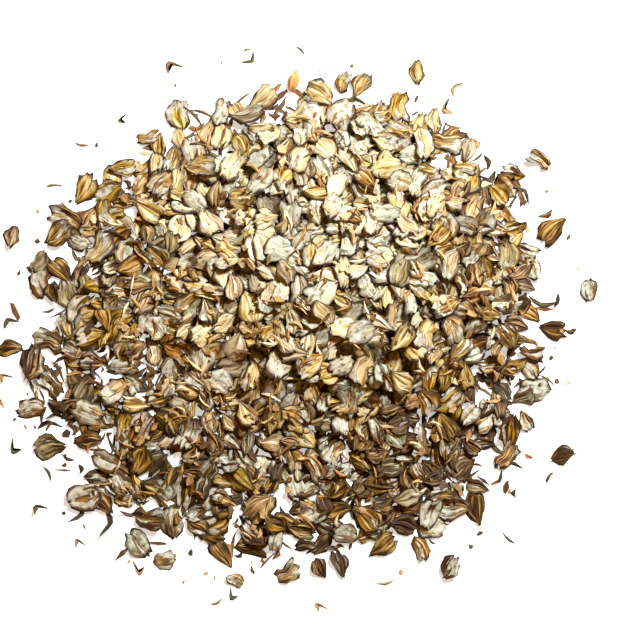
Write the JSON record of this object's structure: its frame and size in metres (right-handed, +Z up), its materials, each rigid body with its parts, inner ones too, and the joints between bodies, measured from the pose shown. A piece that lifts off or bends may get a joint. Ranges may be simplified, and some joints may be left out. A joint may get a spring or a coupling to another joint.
{
  "type": "heap of barley flakes",
  "caption": "A loose, low heap of rolled barley flakes with their hulls, as poured on a table, with stray flakes and husk slivers round it.",
  "frame": {"origin": "under the middle of the whole spread, on the table it lies on", "axes": "+Z up, +X along the longer way across the spread, +Y the shorter way"},
  "size_m": [0.2464, 0.2248, 0.0197],
  "materials": {
    "barley_flakes": "dry rolled barley: floury cream faces under straw-gold to grey-brown ribbed hull, matt with a soft sheen on the hull",
    "barley_kernel": "whole barley kernel in its dry ribbed hull, matt golden brown",
    "barley_husk": "dry husk, matt brown"
  },
  "bodies": {
    "root": {"flake_heap": "barley_flakes", "stray_flake_1": "barley_flakes", "stray_flake_2": "barley_flakes", "stray_flake_3": "barley_flakes", "stray_flake_4": "barley_flakes", "stray_flake_5": "barley_flakes", "stray_flake_6": "barley_flakes", "stray_flake_7": "barley_flakes", "stray_flake_8": "barley_flakes", "stray_flake_9": "barley_flakes", "stray_flake_10": "barley_flakes", "stray_kernel": "barley_kernel", "husk_sliver_1": "barley_husk", "husk_sliver_2": "barley_husk", "husk_sliver_3": "barley_husk", "husk_sliver_4": "barley_husk", "husk_sliver_5": "barley_husk", "husk_sliver_6": "barley_husk", "husk_sliver_7": "barley_husk", "husk_sliver_8": "barley_husk", "husk_sliver_9": "barley_husk", "husk_sliver_10": "barley_husk", "husk_sliver_11": "barley_husk", "husk_sliver_12": "barley_husk", "husk_sliver_13": "barley_husk", "husk_sliver_14": "barley_husk", "husk_sliver_15": "barley_husk", "husk_sliver_16": "barley_husk", "husk_sliver_17": "barley_husk", "husk_sliver_18": "barley_husk", "husk_sliver_19": "barley_husk", "husk_sliver_20": "barley_husk", "husk_sliver_21": "barley_husk", "husk_sliver_22": "barley_husk", "husk_sliver_23": "barley_husk", "husk_sliver_24": "barley_husk"}
  },
  "joints": []
}
